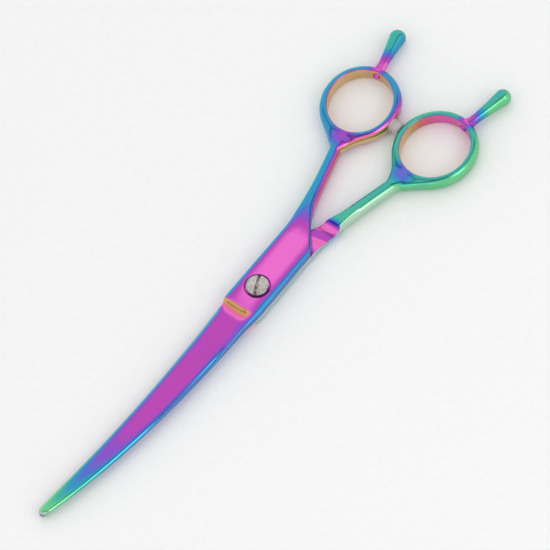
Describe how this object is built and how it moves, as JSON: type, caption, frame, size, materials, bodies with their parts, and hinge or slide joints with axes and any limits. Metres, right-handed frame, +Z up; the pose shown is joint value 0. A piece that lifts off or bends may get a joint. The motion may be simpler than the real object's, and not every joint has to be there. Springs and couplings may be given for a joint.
{
  "type": "curved grooming shears",
  "caption": "Long-bladed curved grooming shears with oval finger rings, screw-in finger rests, a slotted pivot screw and a soft stop between the rings.",
  "frame": {"origin": "on the pivot axis, at the level of the surface the closed shears lie on, which is also the bottom centre of the bounding box", "axes": "+X towards the blade tips, +Z up along the pivot axis towards the screw head, +Y towards the ring of the rear half"},
  "size_m": [0.22, 0.0604, 0.0074],
  "materials": {
    "front_rainbow_steel": "polished stainless steel with a rainbow oxide coating, magenta on the faces, blue to teal on the edges and ring",
    "rear_rainbow_steel": "polished stainless steel with a rainbow oxide coating, teal and green on the handle",
    "rest_rainbow_steel": "polished turned stainless steel with a rainbow oxide coating",
    "screw_steel": "turned bare steel with fine lathe rings",
    "spring_steel": "dark spring steel",
    "nylon": "natural white nylon",
    "clear_rubber": "translucent grey soft rubber"
  },
  "bodies": {
    "rear": {"rear_half": "rear_rainbow_steel", "finger_rest_rear": "rest_rainbow_steel", "glide_washer": "nylon"},
    "front": {"front_half": "front_rainbow_steel", "finger_rest_front": "rest_rainbow_steel", "spring_washer": "spring_steel", "bumper": "clear_rubber"},
    "screw": {"pivot_screw": "screw_steel"}
  },
  "joints": [
    {"name": "blade_pivot", "type": "hinge", "parent": "rear", "child": "front", "pos_m": [0, 0, 0.00305], "axis": [0, 0, 1], "range_deg": [0, 85]},
    {"name": "tension_screw", "type": "hinge", "parent": "rear", "child": "screw", "pos_m": [0, 0, 0.00305], "axis": [0, 0, 1], "range_deg": [-90, 90]}
  ]
}
